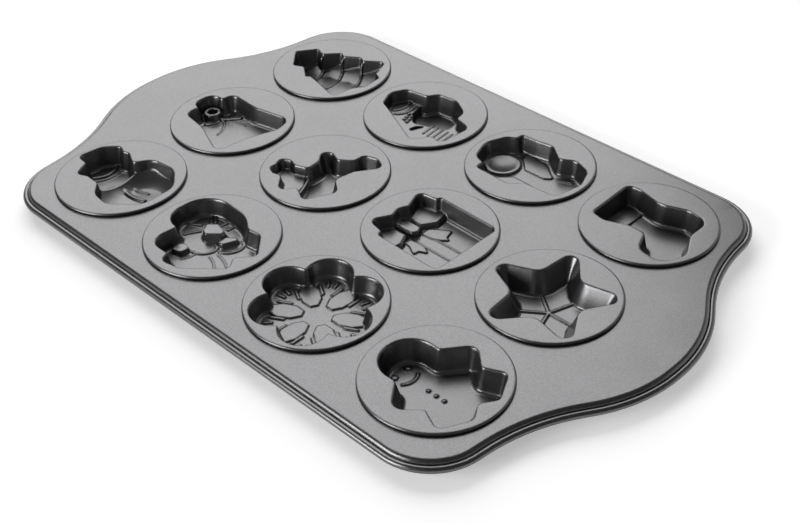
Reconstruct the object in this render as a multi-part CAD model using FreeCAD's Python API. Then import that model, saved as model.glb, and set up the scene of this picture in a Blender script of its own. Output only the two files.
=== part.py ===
import FreeCAD, Part

import math
import os

from FreeCAD import Vector

# A baking pan with twelve holiday shapes: a flat carrier plate with a wired rim,
# and twelve pressed cups, each crimped into a round hole of the plate.
# All sizes are in millimetres. Z is up, Y runs along the long side and the pan rests on Z = 0.

# Carrier plate
plate_sheet = 0.6
side_margin = 46.5
end_margin = 75.0
crown_half_width = 25.2
crown_radius = 79.0
saddle_from_side = 56.2
saddle_below_crown = 30.0
saddle_radius = 105.0
shoulder_below_crown = 34.8
corner_radius = 29.0
edge_radius = 2.4

# Rolled rim and the wire in it
bead_diameter = 3.6
bead_below_plate = 3.6
bead_closing_angle = 118.0
wire_clearance = 0.1

# Cups and their crimped seams
cup_sheet = 0.6
disc_radius = 36.5
disc_gap = 7.0
hem_height = 1.8
hem_cover = 1.5
lock_cover = 1.4
collar_clearance = 0.05
cavity_clearance = 0.7

# Cavities
deep_cavity = 12.4
shallow_cavity = 10.2
mouth_radius = 0.9
floor_radius = 2.0
sharp_floor_radius = 1.5
lip_steps = 3
floor_steps = 4
dome_steps = 4
plain_draft = 2.5
wide_draft = 3.5
star_draft = 5.5

# Raised work on the cavity floors
rib_width = 1.6
rib_height = 0.8
line_width = 0.9
line_height = 0.5
pad_slope = 0.3
bead_radius = 0.75
fine_bead_radius = 0.5
bow_height = 3.0
bow_crown = 2.6
knot_height = 3.6
island_height = 5.0
loop_height = 3.0
eyelet_height = 4.6
figure_height = 4.9
brim_radius = 1.2
scarf_radius = 1.4
eye_radius = 1.7
button_radius = 1.1
eyelet_radius = 6.2
eyelet_hole_radius = 3.1
mitten_depth = 2.6
halo_height = 1.6
halo_width = 1.8
head_height = 4.4

# Sizes that follow from the ones above
pitch = 2 * disc_radius + disc_gap
plate_half_width = pitch + side_margin
plate_half_length = 1.5 * pitch + end_margin
saddle_from_centre = plate_half_width - saddle_from_side
hole_radius = disc_radius - hem_cover
collar_outer = hole_radius - collar_clearance
collar_inner = collar_outer - cup_sheet
lock_radius = collar_outer + lock_cover
cavity_reach = collar_inner - cavity_clearance
drawn_reach = 33.6
drawing_scale = cavity_reach / drawn_reach
disc_top = deep_cavity + cup_sheet
plate_top = disc_top - hem_height
bead_outer = bead_diameter / 2
bead_inner = bead_outer - plate_sheet
bead_centre_out = bead_inner
bead_centre_z = plate_top - bead_below_plate
wire_radius = bead_inner - wire_clearance
deep_floor = disc_top - deep_cavity
shallow_floor = disc_top - shallow_cavity
figure_floor = deep_floor + figure_height


# Outlines are lists of corners (x, y, corner radius).
# Two corners that share a side also share its length, so neither round outgrows it.
def corner_arcs(corners):
    count = len(corners)
    sides = []
    for i in range(count):
        a, b = corners[i], corners[(i + 1) % count]
        length = math.hypot(b[0] - a[0], b[1] - a[1])
        sides.append((length, (b[0] - a[0]) / length, (b[1] - a[1]) / length))
    turns = []
    for i in range(count):
        before, after = sides[i - 1], sides[i]
        turns.append(math.atan2(before[1] * after[2] - before[2] * after[1],
                                before[1] * after[1] + before[2] * after[2]))
    reaches = [corners[i][2] * math.tan(abs(turns[i]) / 2) for i in range(count)]
    shares = [min(1.0, 0.98 * sides[i][0] / (reaches[i] + reaches[(i + 1) % count])) for i in range(count)]
    arcs = []
    for i in range(count):
        x, y, radius = corners[i]
        share = min(shares[i - 1], shares[i])
        reach = reaches[i] * share
        radius *= share
        ax, ay = sides[i - 1][1:]
        bx, by = sides[i][1:]
        side = math.copysign(1.0, turns[i])
        start = Vector(x - ax * reach, y - ay * reach, 0)
        end = Vector(x + bx * reach, y + by * reach, 0)
        centre = Vector(start.x - ay * side * radius, start.y + ax * side * radius, 0)
        arcs.append((start, end, centre, radius, turns[i]))
    return arcs


def outline_wire(corners, z):
    arcs = corner_arcs(corners)
    lift = Vector(0, 0, z)
    edges = []
    for i, (start, end, centre, radius, turn) in enumerate(arcs):
        corner = Vector(corners[i][0], corners[i][1], 0)
        middle = centre + (corner - centre).normalize() * radius
        edges.append(Part.Arc(start + lift, middle + lift, end + lift).toShape())
        following = arcs[(i + 1) % len(arcs)][0]
        edges.append(Part.LineSegment(end + lift, following + lift).toShape())
    return Part.Wire(edges)


def inset(corners, distance, least_radius=0.3):
    count = len(corners)
    area = 0.0
    for i in range(count):
        a, b = corners[i], corners[(i + 1) % count]
        area += a[0] * b[1] - b[0] * a[1]
    side = math.copysign(1.0, area)
    lines = []
    for i in range(count):
        a, b = corners[i], corners[(i + 1) % count]
        length = math.hypot(b[0] - a[0], b[1] - a[1])
        ux, uy = (b[0] - a[0]) / length, (b[1] - a[1]) / length
        lines.append((a[0] - uy * side * distance, a[1] + ux * side * distance, ux, uy))
    moved = []
    for i in range(count):
        px, py, ux, uy = lines[i - 1]
        qx, qy, vx, vy = lines[i]
        cross = ux * vy - uy * vx
        along = ((qx - px) * vy - (qy - py) * vx) / cross
        change = -distance if cross * side > 0 else distance
        radius = max(corners[i][2] + change, least_radius)
        moved.append((px + ux * along, py + uy * along, radius))
    return moved


def mirrored(half):
    return half + [(-x, y, r) for x, y, r in reversed(half) if x > 0]


def drawn(corners):
    return [(x * drawing_scale, y * drawing_scale, r * drawing_scale) for x, y, r in corners]


def drafted(low_corners, low_z, high_corners, high_z):
    return Part.makeLoft([outline_wire(low_corners, low_z), outline_wire(high_corners, high_z)], True, True)


# The section of a drawn wall as (inset, z) points: lip arc, straight wall and floor arc.
# A skin of 0 gives the inside of the sheet and a skin of the sheet's thickness its outside.
def wall_section(depth, draft, round_radius, skin):
    sweep = math.pi / 2 - math.atan2(draft, depth)
    lip_reach = mouth_radius * math.tan(sweep / 2)
    floor_reach = round_radius * math.tan(sweep / 2)
    lip = mouth_radius - skin
    sole = round_radius + skin
    section = [(-lip_reach, disc_top + cup_sheet - skin)]
    for i in range(lip_steps + 1):
        angle = sweep * i / lip_steps
        section.append((lip * math.sin(angle) - lip_reach, disc_top - mouth_radius + lip * math.cos(angle)))
    for i in range(floor_steps, -1, -1):
        angle = sweep * i / floor_steps
        section.append((draft + floor_reach - sole * math.sin(angle),
                        disc_top - depth + round_radius - sole * math.cos(angle)))
    return section


# A drawn recess, lofted through its outline at each point of the wall's section.
def recess(mouth, depth, draft, round_radius, skin):
    wires = [outline_wire(inset(mouth, distance), z)
             for distance, z in wall_section(depth, draft, round_radius, skin)]
    return Part.makeLoft(wires, True, True)


# A raised pad on a floor, narrower at its top.
def pad(corners, floor, height, foot=1.0):
    base = inset(corners, -pad_slope * foot)
    crest = inset(corners, pad_slope * height)
    return drafted(base, floor - foot, crest, floor + height)


# A raised pad with a rounded edge that takes up the width of its crown.
def domed_pad(corners, floor, height, crown, foot=1.0):
    wires = [outline_wire(corners, floor - foot)]
    for i in range(dome_steps + 1):
        angle = math.pi / 2 * i / dome_steps
        round_in = crown * (1 - math.cos(angle))
        wires.append(outline_wire(inset(corners, round_in), floor + height * math.sin(angle)))
    return Part.makeLoft(wires, True, True)


# A tall step of the floor is pressed from the sheet, so it comes as a pad and the hollow below it.
def pressed_step(corners, floor, height):
    return pad(corners, floor, height), pad(inset(corners, cup_sheet), floor - cup_sheet, height)


def pressed_dome(corners, floor, height, crown):
    hollow = domed_pad(inset(corners, cup_sheet), floor - cup_sheet, height, crown)
    return domed_pad(corners, floor, height, crown), hollow


# A raised rib between two points of a floor.
def rib(start, end, width, floor, height):
    dx, dy = end[0] - start[0], end[1] - start[1]
    length = math.hypot(dx, dy)
    sx, sy = -dy / length * width / 2, dx / length * width / 2
    ex, ey = dx / length * width / 2, dy / length * width / 2
    round_end = width * 0.45
    corners = [
        (start[0] - ex + sx, start[1] - ey + sy, round_end),
        (start[0] - ex - sx, start[1] - ey - sy, round_end),
        (end[0] + ex - sx, end[1] + ey - sy, round_end),
        (end[0] + ex + sx, end[1] + ey + sy, round_end),
    ]
    return pad(drawn(corners), floor, height)


# A round bead swept along a smooth line through points (x, y) of a floor.
def bead(points, floor, radius=bead_radius):
    return swept_bead([Vector(x * drawing_scale, y * drawing_scale, floor) for x, y in points], radius)


def swept_bead(places, radius):
    path = Part.BSplineCurve()
    path.interpolate(places)
    ring = Part.Circle(places[0], path.tangent(path.FirstParameter)[0], radius).toShape()
    return Part.Wire(path.toShape()).makePipeShell([Part.Wire(ring)], True, False)


def post(x, y, radius, floor, height, foot=1.0):
    place = Vector(x * drawing_scale, y * drawing_scale, floor - foot)
    return Part.makeCone(radius + pad_slope * foot, radius - pad_slope * height, height + foot, place)


def star_outline():
    corners = []
    for i in range(5):
        tip = math.radians(90 + 72 * i)
        valley = math.radians(126 + 72 * i)
        corners.append((40.0 * math.cos(tip), 40.0 * math.sin(tip), 4.6))
        corners.append((18.1 * math.cos(valley), 18.1 * math.sin(valley), 7.0))
    return corners


def snowflake_outline():
    corners = []
    for i in range(6):
        lobe = math.radians(90 + 60 * i)
        valley = math.radians(120 + 60 * i)
        corners.append((80.0 * math.cos(lobe), 80.0 * math.sin(lobe), 12.7))
        corners.append((25.0 * math.cos(valley), 25.0 * math.sin(valley), 0.8))
    return corners


gingerbread_half = [
    (0.0, -25.5, 3.0), (8.5, -31.2, 4.0), (24.0, -23.0, 3.5), (18.5, -11.0, 2.5),
    (28.8, 0.2, 5.3), (14.5, 11.5, 2.5), (15.3, 31.0, 14.5),
]

stocking = [
    (-12.0, 27.0, 3.0), (19.9, 27.8, 3.5), (20.6, 20.0, 8.0), (16.9, 5.0, 14.0),
    (22.2, -9.5, 7.0), (20.5, -22.5, 7.0), (4.5, -22.6, 12.0), (-10.0, -30.4, 6.0),
    (-24.0, -24.5, 9.0), (-21.5, -9.5, 7.0), (-8.8, -4.2, 3.0), (-8.8, 6.0, 9.0),
    (-13.8, 18.5, 7.0),
]

gift = [
    (-23.2, -26.2, 3.5), (-22.2, 16.5, 2.5), (-18.9, 16.8, 1.2), (-16.0, 29.0, 3.5),
    (-5.0, 22.6, 2.5), (1.2, 24.8, 5.0), (6.7, 22.0, 2.5), (19.6, 27.2, 3.5),
    (21.3, 15.2, 1.2), (23.6, 14.6, 1.5), (22.6, -26.2, 3.5),
]

angel = [
    (-21.6, 20.8, 2.5), (-16.0, 20.6, 1.5), (-13.5, 28.0, 7.0), (0.0, 33.0, 12.0),
    (12.5, 28.0, 7.0), (15.2, 22.6, 1.5), (20.0, 22.6, 2.0), (20.6, 12.0, 10.0),
    (22.6, 2.0, 6.0), (14.6, -8.6, 3.0), (19.6, -17.0, 6.0), (15.5, -28.0, 6.0),
    (3.0, -33.0, 8.0), (-14.5, -29.5, 5.0), (-15.6, -10.6, 4.0), (-22.2, -2.5, 5.0),
]

wreath = [
    (-31.8, 2.5, 4.0), (-26.0, 4.5, 1.5), (-25.8, 20.5, 8.0), (-8.6, 19.0, 2.0),
    (-8.0, 32.0, 16.0), (24.0, 31.0, 16.0), (22.0, -1.0, 20.0), (15.4, -10.5, 3.0),
    (16.4, -19.5, 4.0), (3.8, -31.6, 3.0), (-5.4, -23.0, 3.0), (-12.6, -29.0, 3.5),
    (-29.5, -9.5, 7.0),
]

reindeer = [
    (-21.0, 20.0, 2.0), (-18.5, 26.0, 3.0), (-15.2, 24.6, 1.5), (-9.0, 27.2, 3.0),
    (-6.0, 21.5, 3.0), (-7.8, 16.5, 2.0), (-5.2, 8.3, 3.0), (4.0, 9.2, 6.0),
    (10.8, 14.8, 3.0), (14.6, 9.5, 3.0), (11.6, 2.6, 3.0), (17.0, -5.2, 4.0),
    (24.6, -5.2, 4.0), (27.2, -14.0, 5.0), (23.5, -22.4, 4.0), (9.5, -12.6, 4.0),
    (-2.5, -10.6, 4.0), (-9.8, -20.4, 4.0), (-27.8, -11.8, 3.5), (-21.4, -0.8, 2.0),
    (-30.4, 5.0, 3.5), (-19.8, 14.4, 3.0),
]

santa = [
    (-10.4, 21.0, 3.0), (-8.0, 27.0, 5.0), (3.0, 32.0, 7.0), (12.4, 27.0, 6.0),
    (14.3, 12.4, 4.0), (20.8, 8.6, 6.0), (22.2, -4.5, 9.0), (15.8, -16.4, 8.0),
    (8.0, -17.4, 3.0), (5.2, -29.8, 5.0), (-18.4, -28.0, 4.0), (-15.0, -20.0, 4.0),
    (-25.8, -12.8, 3.5), (-17.6, 5.0, 12.0),
]

snowman = [
    (-5.6, 25.6, 1.5), (-4.6, 34.2, 3.0), (10.0, 32.4, 9.0), (17.8, 25.0, 2.5),
    (15.6, 19.5, 2.0), (17.0, 15.5, 3.0), (12.2, 6.0, 3.0), (22.0, 0.0, 9.0),
    (24.0, -17.0, 12.0), (13.0, -30.5, 12.0), (-8.0, -31.0, 10.0), (-21.5, -15.5, 8.0),
    (-20.0, -3.5, 8.0), (-12.7, 4.5, 3.0), (-12.5, 14.0, 4.0), (-15.4, 20.5, 3.0),
]

bell = [
    (-5.4, 25.2, 1.5), (-4.2, 31.5, 6.5), (11.0, 30.8, 6.5), (10.2, 21.8, 1.5),
    (18.4, 21.2, 5.0), (17.2, 0.0, 25.0), (22.0, -25.5, 6.0), (10.0, -28.5, 8.0),
    (-8.5, -22.0, 25.0), (-28.5, -19.8, 5.0), (-17.6, 6.0, 30.0), (-14.6, 25.6, 5.0),
]

tree = [
    (-1.2, 32.0, 1.2), (10.2, 23.8, 1.5), (7.7, 17.0, 2.0), (16.6, 8.4, 2.0),
    (14.4, 5.0, 1.5), (20.8, -4.8, 2.5), (18.4, -8.2, 1.5), (27.0, -19.8, 3.0),
    (13.0, -25.4, 1.5), (10.8, -30.4, 2.0), (-2.0, -31.6, 3.0), (-9.6, -26.6, 2.0),
    (-22.8, -25.4, 3.0), (-18.0, -7.0, 6.0), (-15.8, 2.2, 1.5), (-18.0, 4.4, 1.5),
    (-10.6, 14.2, 2.0), (-13.6, 20.6, 1.5),
]


# One pressed cup about its own centre: disc, hem, collar, locking flange and cavity.
def hem_profile():
    bend = hem_height / 2
    bend_middle = plate_top + bend
    inner_bend = bend - cup_sheet
    rim = disc_radius - bend
    plate_bottom = plate_top - plate_sheet
    lock_bottom = plate_bottom - cup_sheet
    corner = cup_sheet
    slant = corner * math.sqrt(0.5)

    def at(radius, z):
        return Vector(radius, 0, z)

    edges = [
        Part.Arc(at(rim, disc_top), at(disc_radius, bend_middle), at(rim, plate_top)).toShape(),
        Part.LineSegment(at(rim, plate_top), at(collar_outer, plate_top)).toShape(),
        Part.LineSegment(at(collar_outer, plate_top), at(collar_outer, plate_bottom)).toShape(),
        Part.LineSegment(at(collar_outer, plate_bottom), at(lock_radius, plate_bottom)).toShape(),
        Part.LineSegment(at(lock_radius, plate_bottom), at(lock_radius, lock_bottom)).toShape(),
        Part.LineSegment(at(lock_radius, lock_bottom), at(collar_outer, lock_bottom)).toShape(),
        Part.Arc(at(collar_outer, lock_bottom), at(collar_outer - slant, plate_bottom - slant),
                 at(collar_inner, plate_bottom)).toShape(),
        Part.LineSegment(at(collar_inner, plate_bottom), at(collar_inner, plate_top)).toShape(),
        Part.Arc(at(collar_inner, plate_top), at(collar_outer - slant, plate_top + slant),
                 at(collar_outer, plate_top + cup_sheet)).toShape(),
        Part.LineSegment(at(collar_outer, plate_top + cup_sheet), at(rim, plate_top + cup_sheet)).toShape(),
        Part.Arc(at(rim, plate_top + cup_sheet), at(rim + inner_bend, bend_middle),
                 at(rim, disc_top - cup_sheet)).toShape(),
        Part.LineSegment(at(rim, disc_top - cup_sheet), at(rim, disc_top)).toShape(),
    ]
    return Part.Face(Part.Wire(edges))


hem = hem_profile().revolve(Vector(0, 0, 0), Vector(0, 0, 1), 360)
disc = Part.makeCylinder(disc_radius - hem_height / 2, cup_sheet, Vector(0, 0, disc_top - cup_sheet))


# The bowl keeps the cavity within a rounded form, raised shapes stand on its floor
# and hollows lie below the tall ones.
def cup(mouth, depth, draft, round_radius, raised, hollows, bowl):
    inside = recess(mouth, depth, draft, round_radius, 0.0)
    outside = recess(mouth, depth, draft, round_radius, cup_sheet)
    if bowl:
        inside = inside.common(bowl(0.0))
        outside = outside.common(bowl(cup_sheet))
    if raised:
        inside = inside.cut(raised)
    if hollows:
        outside = outside.cut(hollows)
    return disc.fuse([hem, outside]).cut(inside).Solids[0]


# The tree is round across: its bowl has circular sections that shrink towards the top.
tree_foot = -26.0
tree_head = 20.0
tree_foot_half_width = 31.0
tree_foot_depth = 15.0
tree_head_half_width = 15.0
tree_head_depth = 12.0


def section_circle(half_width, depth):
    radius = (half_width ** 2 + depth ** 2) / (2 * depth)
    return radius, radius - depth


def tree_section(y):
    foot_radius, foot_rise = section_circle(tree_foot_half_width, tree_foot_depth)
    head_radius, head_rise = section_circle(tree_head_half_width, tree_head_depth)
    share = (y - tree_foot) / (tree_head - tree_foot)
    return foot_radius + share * (head_radius - foot_radius), foot_rise + share * (head_rise - foot_rise)


def tree_bowl(skin):
    rings = []
    for y in (-36.0, 34.0):
        radius, rise = tree_section(y)
        place = Vector(0, y * drawing_scale, disc_top + rise * drawing_scale)
        ring = Part.Circle(place, Vector(0, 1, 0), radius * drawing_scale + skin)
        rings.append(Part.Wire(ring.toShape()))
    return Part.makeLoft(rings, True, True)


# The edge of a tier starts in the wall below a notch and runs over the floor to the other notch.
tier_start_depth = 2.0
tier_wall_depth = 6.0
tier_wall_lean = 1.0


def tier_edge(right, left, droop, steps=12):
    places = [Vector(right[0] + tier_wall_lean / 2, right[1], disc_top - tier_start_depth),
              Vector(right[0] - tier_wall_lean, right[1], disc_top - tier_wall_depth)]
    for i in range(1, steps):
        share = i / steps
        x = right[0] + share * (left[0] - right[0])
        y = right[1] + share * (left[1] - right[1]) - droop * 4 * share * (1 - share)
        radius, rise = tree_section(y)
        depth = min(deep_cavity, math.sqrt(radius ** 2 - x ** 2) - rise)
        places.append(Vector(x, y, disc_top - depth))
    places.append(Vector(left[0] + tier_wall_lean, left[1], disc_top - tier_wall_depth))
    places.append(Vector(left[0] - tier_wall_lean / 2, left[1], disc_top - tier_start_depth))
    return swept_bead([Vector(p.x * drawing_scale, p.y * drawing_scale, p.z) for p in places], bead_radius)


def tree_tiers():
    return [
        tier_edge((7.4, 17.0), (-10.2, 14.4), 3.5),
        tier_edge((13.8, 5.0), (-15.2, 2.4), 4.0),
        tier_edge((17.8, -8.2), (-17.8, -9.5), 4.5),
        bead([(11.0, -23.0), (6.0, -25.4), (0.0, -26.2), (-7.0, -25.0)], deep_floor),
    ]


# The snowman's body is a round bowl, and its head and hat keep straight walls.
body_x = 1.0
body_y = -14.0
body_half_width = 28.0
body_depth = 14.5
neck_y = 5.0


def snowman_bowl(skin):
    radius, rise = section_circle(body_half_width * drawing_scale, body_depth)
    centre = Vector(body_x * drawing_scale, body_y * drawing_scale, disc_top + rise)
    body = Part.makeSphere(radius + skin, centre)
    size = 2 * disc_radius
    head = Part.makeBox(size, size, size, Vector(-disc_radius, neck_y * drawing_scale - skin, -disc_radius))
    return body.fuse(head)


def snowman_dress():
    hat_fold = [(-10.0, 27.4), (-2.4, 24.9), (1.5, 22.4), (6.0, 21.9), (10.0, 23.2), (16.0, 26.0)]
    brim = [(-12.0, 24.0), (-3.3, 21.4), (1.2, 19.4), (6.0, 18.8), (9.8, 19.4), (16.0, 21.4)]
    scarf = [(-8.0, 10.4), (-4.5, 10.0), (-0.5, 9.4), (1.0, 7.2), (5.2, 7.2), (9.9, 8.4), (14.0, 9.6)]
    return [
        bead(hat_fold, deep_floor, brim_radius),
        bead(brim, deep_floor),
        bead(scarf, deep_floor),
        bead([(1.7, 4.8), (1.0, -2.0), (1.3, -9.0), (3.4, -15.2)], deep_floor, scarf_radius),
        bead([(6.0, 3.0), (6.6, -4.0), (9.0, -11.0)], deep_floor),
    ]


def star_ribs():
    ribs = []
    for i in range(5):
        angle = math.radians(54 + 72 * i)
        end = (20.0 * math.cos(angle), 20.0 * math.sin(angle))
        ribs.append(rib((0.0, 0.0), end, rib_width, deep_floor, rib_height))
    return ribs


def turned_point(x, y, angle):
    return x * math.cos(angle) - y * math.sin(angle), x * math.sin(angle) + y * math.cos(angle)


# Six cells stand in the snowflake's valleys, and the arms between them fork round short fingers.
def snowflake_cells():
    cell = [(7.5, 2.1, 0.5), (7.5, -2.1, 0.5), (12.5, -5.0, 0.8), (19.5, -5.2, 0.8), (25.0, -3.0, 0.5),
            (25.0, 3.0, 0.5), (19.5, 5.2, 0.8), (12.5, 5.0, 0.8)]
    fingers = [((16.6, 2.5), (22.4, 5.8)), ((16.6, -2.5), (22.4, -5.8)),
               ((22.6, 1.7), (26.2, 2.4)), ((22.6, -1.7), (26.2, -2.4))]
    raised = []
    for i in range(6):
        valley, lobe = math.radians(60 * i), math.radians(60 * i + 30)
        turned = [turned_point(x, y, valley) + (r,) for x, y, r in cell]
        raised.append(pad(drawn(turned), shallow_floor, rib_height))
        for finger in fingers:
            start, end = [turned_point(x, y, lobe) for x, y in finger]
            raised.append(rib(start, end, rib_width, shallow_floor, rib_height))
    return raised


def gingerbread_face():
    raised = [post(x, 22.5, eye_radius, deep_floor, rib_height) for x in (-4.5, 4.5)]
    raised += [post(0.0, y, button_radius, deep_floor, rib_height) for y in (5.0, 0.0, -5.0)]
    smile = [(-5.5, 17.0), (-3.0, 15.2), (0.0, 14.6), (3.0, 15.2), (5.5, 17.0)]
    return raised + [bead(smile, deep_floor)]


def stocking_cuff():
    cuff = [(-20.0, 14.4, 0.5), (26.0, 15.2, 0.5), (26.0, 32.0, 0.5), (-20.0, 32.0, 0.5)]
    return [pad(drawn(cuff), deep_floor, rib_height)]


gift_loops = [
    [(-26.0, 9.5, 1.5), (-12.5, 7.4, 4.0), (-4.4, 11.8, 1.5), (-4.4, 34.0, 1.0), (-26.0, 34.0, 1.0)],
    [(4.8, 11.6, 1.5), (13.5, 6.2, 4.0), (28.0, 9.6, 1.5), (28.0, 34.0, 1.0), (4.8, 34.0, 1.0)],
]
gift_knot = [(-3.8, 10.0, 1.5), (0.4, 8.0, 2.0), (4.2, 10.0, 1.5), (4.2, 34.0, 1.0), (-3.8, 34.0, 1.0)]
gift_tails = [
    [(-9.0, 9.5, 0.8), (-9.8, 5.7, 1.5), (-13.2, -0.4, 0.8), (-9.6, -0.8, 0.6), (-7.4, -5.5, 0.6),
     (-4.8, -1.1, 1.5), (-4.6, 9.5, 0.8)],
    [(2.3, 8.6, 0.8), (3.0, 1.8, 2.0), (5.2, -3.0, 2.0), (8.1, -6.4, 0.6), (9.1, -3.5, 0.6),
     (15.2, -1.6, 0.8), (11.5, 4.7, 2.0), (8.0, 9.0, 0.8)],
]
gift_bow = [pressed_dome(drawn(loop), shallow_floor, bow_height, bow_crown) for loop in gift_loops]


def gift_ribbons():
    raised = [domed_pad(drawn(gift_knot), shallow_floor, knot_height, bow_crown / 2)]
    raised += [pad(drawn(tail), shallow_floor, rib_height) for tail in gift_tails]
    raised += [rib((x, 6.0), (x, -30.0), line_width, shallow_floor, line_height) for x in (-4.15, 4.15)]
    return raised


# The wreath rings a six-sided island, and each loop of its bow has a smaller one.
wreath_island = [(1.6, 9.1, 1.0), (3.2, 12.3, 1.0), (7.9, 14.9, 1.0), (11.6, 10.5, 1.0), (10.0, 3.4, 1.0),
                 (7.2, 2.6, 1.0)]
loop_islands = [
    [(-16.8, 14.3, 1.6), (-12.3, 15.6, 2.0), (-9.2, 12.2, 2.0), (-10.6, 7.8, 1.6), (-15.6, 8.4, 2.0)],
    [(3.0, 0.2, 1.2), (8.2, 0.7, 1.6), (12.4, -3.9, 1.6), (11.2, -6.0, 1.4), (3.2, -2.6, 1.4)],
]
island_foot = inset(drawn(wreath_island), -pad_slope * island_height)
wreath_steps = [pressed_step(island_foot, shallow_floor, island_height)]


def wreath_bands():
    loop_slope = -pad_slope * loop_height
    raised = [pad(inset(drawn(island), loop_slope), shallow_floor, loop_height) for island in loop_islands]
    bands = [
        [(12.6, 18.2), (16.5, 22.2), (20.0, 25.6)], [(14.6, 17.0), (18.2, 20.8), (21.6, 24.0)],
        [(14.5, 13.2), (19.0, 12.6), (23.0, 11.0)], [(8.8, 21.0), (6.5, 25.0), (4.4, 28.6)],
        [(5.2, 17.6), (1.0, 20.2), (-3.0, 22.2)], [(15.0, 7.6), (18.5, 7.4), (22.0, 7.0)],
    ]
    raised += [bead(band, shallow_floor) for band in bands]
    raised.append(bead([(-17.0, 6.6), (-13.0, 4.6), (-9.0, 4.4)], shallow_floor, fine_bead_radius))
    raised.append(bead([(-9.0, 7.6), (-7.0, 1.6), (-1.0, -1.4), (3.0, 3.6)], shallow_floor))
    raised.append(bead([(0.0, -3.4), (3.0, -8.4), (10.0, -10.4), (14.0, -5.4)], shallow_floor))
    raised.append(bead([(-6.0, -3.0), (-8.0, -9.0), (-12.0, -14.0)], shallow_floor, fine_bead_radius))
    raised.append(bead([(-2.0, -5.0), (-3.0, -11.0), (-6.0, -17.0)], shallow_floor, fine_bead_radius))
    return raised


def bell_bow():
    eyelet = post(2.6, 22.6, eyelet_radius, shallow_floor, eyelet_height)
    eye_place = Vector(2.6 * drawing_scale, 22.6 * drawing_scale, shallow_floor + rib_height)
    eye = Part.makeCylinder(eyelet_hole_radius, eyelet_height, eye_place)
    loops = [
        [(-6.6, 21.4, 1.2), (-6.0, 17.6, 1.6), (1.4, 14.9, 1.0), (3.0, 16.4, 0.8), (2.4, 19.4, 1.6)],
        [(6.6, 16.6, 0.8), (6.2, 13.2, 1.0), (12.4, 8.2, 1.6), (15.2, 9.4, 1.2), (14.4, 12.8, 1.6)],
    ]
    knot = [(2.8, 14.4, 0.8), (6.0, 13.2, 0.8), (6.9, 16.6, 0.8), (3.5, 17.9, 0.8)]
    raised = [eyelet.cut(eye)]
    raised += [pad(drawn(loop), shallow_floor, rib_height) for loop in loops]
    raised.append(pad(drawn(knot), shallow_floor, 1.5 * rib_height))
    for tail in ([(3.8, 14.0), (-0.8, 8.8), (-8.0, 5.8)], [(6.0, 12.6), (8.0, 6.5), (9.1, 0.4)],
                 [(8.6, 11.5), (12.6, 6.0), (14.8, 0.4)]):
        raised.append(bead(tail, shallow_floor, fine_bead_radius))
    return raised


# Santa stands on a raised floor and the sack behind is a deeper pocket.
figure = [
    (-36.0, -38.0, 1.0), (24.0, -38.0, 1.0), (24.0, -14.0, 1.0), (12.0, -11.6, 5.0), (3.0, -12.6, 4.0),
    (0.2, -2.0, 8.0), (-2.8, 6.0, 2.5), (3.6, 12.6, 5.0), (13.6, 14.4, 6.0), (24.0, 18.0, 1.0),
    (24.0, 40.0, 1.0), (-36.0, 40.0, 1.0),
]
mitten = [(-12.4, 1.0, 1.2), (-3.4, -2.4, 1.0), (-1.8, -0.8, 1.0), (-5.4, 3.2, 1.6), (-10.4, 4.4, 1.2)]
mitten_floor = figure_floor - mitten_depth
mitten_slot = pad(drawn(mitten), mitten_floor, 2 * mitten_depth, 0.0)
mitten_cover = pad(inset(drawn(mitten), -cup_sheet), mitten_floor - cup_sheet, 2 * mitten_depth, 0.0)
figure_pad, figure_hollow = pressed_step(drawn(figure), deep_floor, figure_height)


def santa_figure():
    raised = [figure_pad.cut(mitten_slot)]
    raised.append(bead([(-2.5, 24.5), (1.5, 22.2), (6.5, 21.8), (12.0, 24.0)], figure_floor))
    raised.append(bead([(-4.6, 21.5), (-1.6, 18.2), (3.0, 16.8), (8.0, 18.4)], figure_floor))
    curls = [(-5.0, 12.8), (-2.0, 13.6), (1.0, 14.6), (-6.0, 9.6), (-3.0, 10.4), (0.0, 11.6),
             (6.0, 17.0), (9.0, 17.6)]
    raised += [post(x, y, button_radius, figure_floor, rib_height) for x, y in curls]
    for y in (-5.0, -8.6, -12.2, -15.8, -19.4):
        raised.append(bead([(-9.0, y - 1.2), (-3.0, y - 0.4), (2.0, y)], figure_floor, fine_bead_radius))
    return raised


# The angel's hair is a ring round a plain dished face, and the wings lie above the robe.
def angel_dress():
    wing = [(9.5, 12.5, 1.0), (12.0, 15.5, 2.0), (18.0, 18.2, 1.5), (17.6, 9.6, 3.0), (16.0, 0.9, 3.0),
            (8.2, -10.2, 1.5), (4.8, -5.6, 2.0), (4.6, 7.4, 2.0)]
    head_radius = 10.6 * drawing_scale
    dish_radius, dish_rise = section_circle(head_radius - halo_width, halo_height)
    dish_centre = Vector(0, 20.0 * drawing_scale, shallow_floor + halo_height + dish_rise + line_height / 4)
    halo = post(0.0, 20.0, head_radius, shallow_floor, halo_height)
    raised = [halo.cut(Part.makeSphere(dish_radius, dish_centre, Vector(1, 0, 0)))]
    for side in (1, -1):
        corners = [(side * x, y, r) for x, y, r in wing]
        raised.append(pad(drawn(corners), shallow_floor, rib_height))
        fold = [(side * 8.4, -11.6), (side * 10.4, -15.6), (side * 12.4, -20.0)]
        raised.append(bead(fold, shallow_floor, fine_bead_radius))
    return raised


# The reindeer's head is shallower than its body, with a round ridge along the neck.
neck_line = [(-23.0, -1.2), (-12.6, 3.2), (-3.6, 9.6)]
reindeer_head = [(-36.0, -3.0, 0.5), (-23.0, -1.2, 2.0), (-12.6, 3.2, 6.0), (-3.6, 9.6, 2.0),
                 (1.0, 14.0, 0.5), (1.0, 36.0, 0.5), (-36.0, 36.0, 0.5)]
head_step = pressed_step(drawn(reindeer_head), shallow_floor, head_height)


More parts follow.
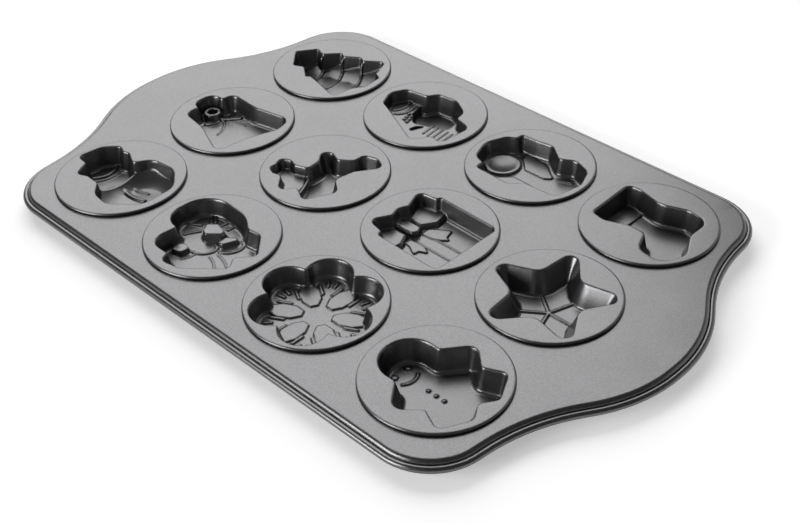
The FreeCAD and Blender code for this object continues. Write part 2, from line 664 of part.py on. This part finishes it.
def reindeer_body():
    rump = [(8.6, 13.6, 1.0), (11.4, 6.6, 3.0), (13.4, 1.0, 3.0), (12.0, -20.0, 0.5), (36.0, -30.0, 0.5),
            (36.0, 12.0, 0.5), (20.0, 20.0, 0.5)]
    return [
        bead(neck_line, shallow_floor + head_height, bead_radius),
        pad(drawn(rump), shallow_floor, rib_height),
    ]


def pads_of(steps):
    return [step[0] for step in steps]


def hollows_of(steps):
    return [step[1] for step in steps]


# Each cup's column, row in half pitches, mouth, depth, draft, floor radius, raised shapes, hollows and bowl
cups = {
    "tree_cup": (1, 3, tree, deep_cavity, plain_draft, sharp_floor_radius, tree_tiers(), [], tree_bowl),
    "bell_cup": (0, 3, bell, shallow_cavity, plain_draft, floor_radius, bell_bow(), [], None),
    "snowman_cup": (-1, 3, snowman, deep_cavity, plain_draft, floor_radius,
                    snowman_dress(), [], snowman_bowl),
    "santa_cup": (1, 1, santa, deep_cavity, plain_draft, floor_radius, santa_figure(),
                  [figure_hollow.cut(mitten_cover)], None),
    "reindeer_cup": (0, 1, reindeer, shallow_cavity, plain_draft, sharp_floor_radius,
                     [head_step[0]] + reindeer_body(), [head_step[1]], None),
    "wreath_cup": (-1, 1, wreath, shallow_cavity, plain_draft, floor_radius,
                   pads_of(wreath_steps) + wreath_bands(), hollows_of(wreath_steps), None),
    "angel_cup": (1, -1, angel, shallow_cavity, plain_draft, floor_radius, angel_dress(), [], None),
    "gift_cup": (0, -1, gift, shallow_cavity, plain_draft, floor_radius,
                 pads_of(gift_bow) + gift_ribbons(), hollows_of(gift_bow), None),
    "snowflake_cup": (-1, -1, snowflake_outline(), shallow_cavity, plain_draft, floor_radius,
                      snowflake_cells(), [], None),
    "stocking_cup": (1, -3, stocking, deep_cavity, plain_draft, floor_radius, stocking_cuff(), [], None),
    "star_cup": (0, -3, star_outline(), deep_cavity, star_draft, sharp_floor_radius, star_ribs(), [], None),
    "gingerbread_cup": (-1, -3, mirrored(gingerbread_half), deep_cavity, wide_draft, floor_radius,
                        gingerbread_face(), [], None),
}


# The plate outline, its rim sheet and the wire follow the same arcs and straights.
end_half = [
    (plate_half_width, plate_half_length - shoulder_below_crown, corner_radius),
    (saddle_from_centre, plate_half_length - saddle_below_crown, saddle_radius),
    (crown_half_width, plate_half_length, crown_radius),
]
end_outline = mirrored(end_half)
plate_outline = end_outline + [(-x, -y, r) for x, y, r in end_outline]


def swept_round(profile_face):
    pieces = []
    arcs = corner_arcs(plate_outline)
    for i, (start, end, centre, radius, turn) in enumerate(arcs):
        corner = Vector(plate_outline[i][0], plate_outline[i][1], 0)
        before = Vector(plate_outline[i - 1][0], plate_outline[i - 1][1], 0)
        heading = (corner - before).normalize()
        section = profile_face.copy()
        section.rotate(Vector(0, 0, 0), Vector(0, 0, 1), math.degrees(math.atan2(-heading.x, heading.y)))
        section.translate(start)
        pieces.append(section.revolve(centre, Vector(0, 0, 1), math.degrees(turn)))
        following = arcs[(i + 1) % len(arcs)][0]
        section = section.copy()
        section.rotate(centre, Vector(0, 0, 1), math.degrees(turn))
        pieces.append(section.extrude(following - end))
    return pieces


def rim_profile():
    flat = -edge_radius
    turned = bead_closing_angle

    def at(out, z):
        return Vector(out, 0, z)

    def on_bead(radius, degrees):
        angle = math.radians(degrees)
        return at(bead_centre_out + radius * math.cos(angle), bead_centre_z + radius * math.sin(angle))

    def on_edge(radius, degrees):
        angle = math.radians(degrees)
        return at(flat + radius * math.cos(angle), plate_top - edge_radius + radius * math.sin(angle))

    inner_edge = edge_radius - plate_sheet
    edges = [
        Part.Arc(on_edge(edge_radius, 90), on_edge(edge_radius, 45), on_edge(edge_radius, 0)).toShape(),
        Part.LineSegment(on_edge(edge_radius, 0), on_bead(bead_inner, 180)).toShape(),
        Part.Arc(on_bead(bead_inner, 180), on_bead(bead_inner, 330), on_bead(bead_inner, turned)).toShape(),
        Part.LineSegment(on_bead(bead_inner, turned), on_bead(bead_outer, turned)).toShape(),
        Part.Arc(on_bead(bead_outer, turned), on_bead(bead_outer, 330), on_bead(bead_outer, 180)).toShape(),
        Part.LineSegment(on_bead(bead_outer, 180), on_edge(inner_edge, 0)).toShape(),
        Part.Arc(on_edge(inner_edge, 0), on_edge(inner_edge, 45), on_edge(inner_edge, 90)).toShape(),
        Part.LineSegment(on_edge(inner_edge, 90), on_edge(edge_radius, 90)).toShape(),
    ]
    return Part.Face(Part.Wire(edges))


flat_face = Part.Face(outline_wire(inset(plate_outline, edge_radius), plate_top))
flat_sheet = flat_face.extrude(Vector(0, 0, -plate_sheet))
holes = []
for column, row in [(c, r) for c, r, *rest in cups.values()]:
    place = Vector(column * pitch, row * pitch / 2, plate_top - 2 * plate_sheet)
    holes.append(Part.makeCylinder(hole_radius, 3 * plate_sheet, place))
rim = swept_round(rim_profile())
carrier_plate = flat_sheet.cut(holes).fuse(rim).removeSplitter()

wire_circle = Part.Circle(Vector(bead_centre_out, 0, bead_centre_z), Vector(0, 1, 0), wire_radius)
wire_runs = swept_round(Part.Face(Part.Wire(wire_circle.toShape())))
rim_wire = wire_runs[0].fuse(wire_runs[1:]).removeSplitter()

os.makedirs("parts", exist_ok=True)
carrier_plate.Solids[0].exportStep("parts/carrier_plate.step")
rim_wire.Solids[0].exportStep("parts/rim_wire.step")
for name, shape in (("carrier_plate", carrier_plate), ("rim_wire", rim_wire)):
    print(name, len(shape.Solids), shape.isValid())
for name, (column, row, corners, depth, draft, round_radius, raised, hollows, bowl) in cups.items():
    shape = cup(drawn(corners), depth, draft, round_radius, raised, hollows, bowl)
    shape.translate(Vector(column * pitch, row * pitch / 2, 0))
    print(name, len(shape.Solids), shape.isValid(), round(shape.Volume, 1))
    shape.exportStep("parts/" + name + ".step")
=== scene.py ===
import math

import bmesh
import bpy
from mathutils import Matrix, Vector


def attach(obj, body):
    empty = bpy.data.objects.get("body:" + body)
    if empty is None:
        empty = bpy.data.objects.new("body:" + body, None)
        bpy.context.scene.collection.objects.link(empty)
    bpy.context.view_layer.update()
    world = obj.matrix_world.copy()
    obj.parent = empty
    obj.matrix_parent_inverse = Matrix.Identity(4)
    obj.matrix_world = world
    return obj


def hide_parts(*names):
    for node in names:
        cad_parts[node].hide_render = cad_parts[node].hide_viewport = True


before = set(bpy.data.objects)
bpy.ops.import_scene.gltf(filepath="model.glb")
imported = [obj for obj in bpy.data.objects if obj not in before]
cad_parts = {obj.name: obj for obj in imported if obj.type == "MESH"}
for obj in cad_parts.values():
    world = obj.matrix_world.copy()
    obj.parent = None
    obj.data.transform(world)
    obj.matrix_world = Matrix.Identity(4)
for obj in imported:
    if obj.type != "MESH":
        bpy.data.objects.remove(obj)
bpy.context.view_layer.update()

MM = 0.001
WHITE = (1.0, 1.0, 1.0, 1.0)
FULL_RANGE = (0.0, 1.0)

# Camera at the photograph's view: places in metres, lens and sensor in millimetres
CAMERA_PLACE = Vector((-0.40219, -0.43313, 0.42815))
CAMERA_RIGHT = Vector((0.70258, -0.71096, -0.03015))
CAMERA_UP = Vector((0.45311, 0.41429, 0.78934))
CAMERA_BACK = Vector((-0.54870, -0.56824, 0.61322))
CAMERA_LENS = 60.67
SENSOR_WIDTH = 36.0
CLIP_NEAR = 0.01
CLIP_FAR = 20.0

# Non-stick coat: a fine grain in tone and surface, a broad cloud in gloss
COAT_DARK = (0.118, 0.118, 0.12, 1.0)
COAT_LIGHT = (0.168, 0.168, 0.171, 1.0)
COAT_METALLIC = 0.95
COAT_ROUGHNESS = 0.3
GLOSS_SWING = 0.02
CLOUD_SCALE = 38.0
CLOUD_DETAIL = 3.0
GRAIN_SCALE = 1900.0
GRAIN_DETAIL = 2.0
NOISE_RANGE = (0.3, 0.7)
PEEL_STRENGTH = 0.12
PEEL_DEPTH = 0.02 * MM

# Edges that the coat shows softened
CUP_EDGE = 1.6 * MM
PLATE_EDGE = 0.6 * MM
EDGE_SAMPLES = 12

# Bare steel wire in the rolled rim
WIRE_COLOUR = (0.5, 0.5, 0.51, 1.0)
WIRE_METALLIC = 1.0
WIRE_ROUGHNESS = (0.22, 0.4)
STREAK_SCALE = 900.0
STREAK_DETAIL = 2.0

# Pale floor: it glows as a white backdrop, and the glow grows along one direction
# between two distances in metres, a painted light that brightens the side the lamps
# light less
FLOOR_HALF_WIDTH = 6.0
FLOOR_TONE = 0.9
FLOOR_BOUNCE = 0.08
FLOOR_ROUGHNESS = 1.0
FLOOR_SPECULAR = 0.0
FLOOR_GLOW_AND_PAINTED_LIGHT = (0.23, 0.45)
PAINTED_LIGHT_SPAN = (-0.2, 0.22)
PAINTED_LIGHT_DIRECTION = CAMERA_RIGHT

# Studio: softboxes as name, place, width, height and power
WORLD_STRENGTH = 0.1
LAMP_TARGET = Vector((0.0, 0.0, 0.0))
LAMPS = [
    ("back_softbox", (0.7, 1.08, 1.12), 1.8, 1.8, 27.0),
    ("left_softbox", (-1.25, 0.3, 0.42), 0.8, 0.6, 14.0),
    ("right_panel", (2.0, -0.8, 0.6), 3.0, 1.2, 6.0),
]

# Smooth shading of the pressed sheet
SMOOTH_ANGLE = math.radians(38)
FLAT_WEIGHT = 60
MERGE_DISTANCE = 0.002 * MM


def add_object(name, data):
    thing = bpy.data.objects.new(name, data)
    bpy.context.collection.objects.link(thing)
    return thing


def aim_camera():
    camera = add_object("photo_camera", bpy.data.cameras.new("photo_camera"))
    turn = Matrix((CAMERA_RIGHT, CAMERA_UP, CAMERA_BACK)).transposed().to_4x4()
    camera.matrix_world = Matrix.Translation(CAMERA_PLACE) @ turn
    camera.data.lens = CAMERA_LENS
    camera.data.sensor_width = SENSOR_WIDTH
    camera.data.clip_start = CLIP_NEAR
    camera.data.clip_end = CLIP_FAR
    bpy.context.scene.camera = camera


def new_material(name):
    material = bpy.data.materials.new(name)
    material.use_nodes = True
    tree = material.node_tree
    place = tree.nodes.new("ShaderNodeTexCoord").outputs["Object"]
    return material, tree, tree.nodes["Principled BSDF"], place


def noise(tree, place, scale, detail):
    node = tree.nodes.new("ShaderNodeTexNoise")
    node.inputs["Scale"].default_value = scale
    node.inputs["Detail"].default_value = detail
    tree.links.new(place, node.inputs["Vector"])
    return node.outputs["Fac"]


def spread(tree, value, source, target):
    node = tree.nodes.new("ShaderNodeMapRange")
    node.inputs["From Min"].default_value = source[0]
    node.inputs["From Max"].default_value = source[1]
    node.inputs["To Min"].default_value = target[0]
    node.inputs["To Max"].default_value = target[1]
    tree.links.new(value, node.inputs["Value"])
    return node.outputs["Result"]


def math_of(tree, operation, first, second):
    node = tree.nodes.new("ShaderNodeMath")
    node.operation = operation
    tree.links.new(first, node.inputs[0])
    tree.links.new(second, node.inputs[1])
    return node.outputs["Value"]


def coated_steel(name, edge_radius):
    material, tree, shader, place = new_material(name)
    cloud = noise(tree, place, CLOUD_SCALE, CLOUD_DETAIL)
    grain = noise(tree, place, GRAIN_SCALE, GRAIN_DETAIL)

    tone = tree.nodes.new("ShaderNodeValToRGB")
    for step, position, colour in zip(
            tone.color_ramp.elements, NOISE_RANGE, (COAT_DARK, COAT_LIGHT)):
        step.position = position
        step.color = colour
    tree.links.new(grain, tone.inputs["Fac"])
    tree.links.new(tone.outputs["Color"], shader.inputs["Base Color"])

    roughness = (COAT_ROUGHNESS - GLOSS_SWING, COAT_ROUGHNESS + GLOSS_SWING)
    gloss = spread(tree, cloud, NOISE_RANGE, roughness)
    tree.links.new(gloss, shader.inputs["Roughness"])

    soft_edge = tree.nodes.new("ShaderNodeBevel")
    soft_edge.samples = EDGE_SAMPLES
    soft_edge.inputs["Radius"].default_value = edge_radius
    peel = tree.nodes.new("ShaderNodeBump")
    peel.inputs["Strength"].default_value = PEEL_STRENGTH
    peel.inputs["Distance"].default_value = PEEL_DEPTH
    tree.links.new(grain, peel.inputs["Height"])
    tree.links.new(soft_edge.outputs["Normal"], peel.inputs["Normal"])
    tree.links.new(peel.outputs["Normal"], shader.inputs["Normal"])
    shader.inputs["Metallic"].default_value = COAT_METALLIC
    return material


def drawn_wire():
    material, tree, shader, place = new_material("drawn_wire")
    streaks = noise(tree, place, STREAK_SCALE, STREAK_DETAIL)
    gloss = spread(tree, streaks, FULL_RANGE, WIRE_ROUGHNESS)
    tree.links.new(gloss, shader.inputs["Roughness"])
    shader.inputs["Base Color"].default_value = WIRE_COLOUR
    shader.inputs["Metallic"].default_value = WIRE_METALLIC
    return material


def smooth_copy(node):
    """The solid's own mesh with merged corners, smooth where its faces turn gently."""
    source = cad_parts[node]
    mesh = bpy.data.meshes.new(node + "_skin")
    form = bmesh.new()
    form.from_mesh(source.data)
    bmesh.ops.remove_doubles(form, verts=form.verts, dist=MERGE_DISTANCE)
    for face in form.faces:
        face.smooth = True
    for edge in form.edges:
        closed = len(edge.link_faces) == 2
        edge.smooth = closed and edge.calc_face_angle(0.0) < SMOOTH_ANGLE
    form.to_mesh(mesh)
    form.free()
    piece = add_object(node + "_skin", mesh)
    flat_first = piece.modifiers.new("flat_first", "WEIGHTED_NORMAL")
    flat_first.mode = "FACE_AREA"
    flat_first.weight = FLAT_WEIGHT
    flat_first.keep_sharp = True
    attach(piece, "root")
    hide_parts(node)
    return piece


def seen_rays(tree):
    """One for rays that show the floor: straight, mirrored or through glass."""
    rays = tree.nodes.new("ShaderNodeLightPath").outputs
    mirrored = math_of(tree, "MAXIMUM", rays["Is Camera Ray"], rays["Is Glossy Ray"])
    return math_of(tree, "MAXIMUM", mirrored, rays["Is Transmission Ray"])


def floor_material():
    material, tree, shader, place = new_material("pale_floor")
    shader.inputs["Roughness"].default_value = FLOOR_ROUGHNESS
    shader.inputs["Specular IOR Level"].default_value = FLOOR_SPECULAR
    seen = seen_rays(tree)
    tone = spread(tree, seen, FULL_RANGE, (FLOOR_BOUNCE, FLOOR_TONE))
    tree.links.new(tone, shader.inputs["Base Color"])

    across = tree.nodes.new("ShaderNodeVectorMath")
    across.operation = "DOT_PRODUCT"
    across.inputs[1].default_value = PAINTED_LIGHT_DIRECTION
    tree.links.new(place, across.inputs[0])
    # painted light: the floor's glow grows towards one side, standing in for lamp
    # light that side lacks
    glow_and_painted_light = spread(tree, across.outputs["Value"], PAINTED_LIGHT_SPAN, FLOOR_GLOW_AND_PAINTED_LIGHT)
    seen_glow_and_painted_light = math_of(tree, "MULTIPLY", glow_and_painted_light, seen)
    shader.inputs["Emission Color"].default_value = WHITE
    tree.links.new(seen_glow_and_painted_light, shader.inputs["Emission Strength"])
    return material


def lay_floor():
    mesh = bpy.data.meshes.new("floor")
    form = bmesh.new()
    bmesh.ops.create_grid(form, x_segments=1, y_segments=1, size=FLOOR_HALF_WIDTH)
    form.to_mesh(mesh)
    form.free()
    floor = add_object("floor", mesh)
    floor.data.materials.append(floor_material())


def hang_softbox(name, place, width, height, power):
    light = bpy.data.lights.new(name, "AREA")
    light.shape = "RECTANGLE"
    light.size = width
    light.size_y = height
    light.energy = power
    lamp = add_object(name, light)
    lamp.location = place
    aim = LAMP_TARGET - Vector(place)
    lamp.rotation_euler = aim.to_track_quat("-Z", "Y").to_euler()


def light_studio():
    world = bpy.data.worlds.new("studio")
    bpy.context.scene.world = world
    world.use_nodes = True
    background = world.node_tree.nodes["Background"]
    background.inputs["Color"].default_value = WHITE
    background.inputs["Strength"].default_value = WORLD_STRENGTH
    for lamp in LAMPS:
        hang_softbox(*lamp)


def dress_pan():
    cup_coat = coated_steel("nonstick_coat_cup", CUP_EDGE)
    plate_coat = coated_steel("nonstick_coat_plate", PLATE_EDGE)
    looks = {
        "rim_wire": ("wire", drawn_wire()),
        "carrier_plate": ("coated_sheet", plate_coat),
    }
    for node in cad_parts:
        skin = smooth_copy(node)
        slot, material = looks.get(node, ("coated_sheet", cup_coat))
        skin.data.materials.append(material)


bpy.context.scene.view_settings.view_transform = "Standard"
aim_camera()
dress_pan()
lay_floor()
light_studio()
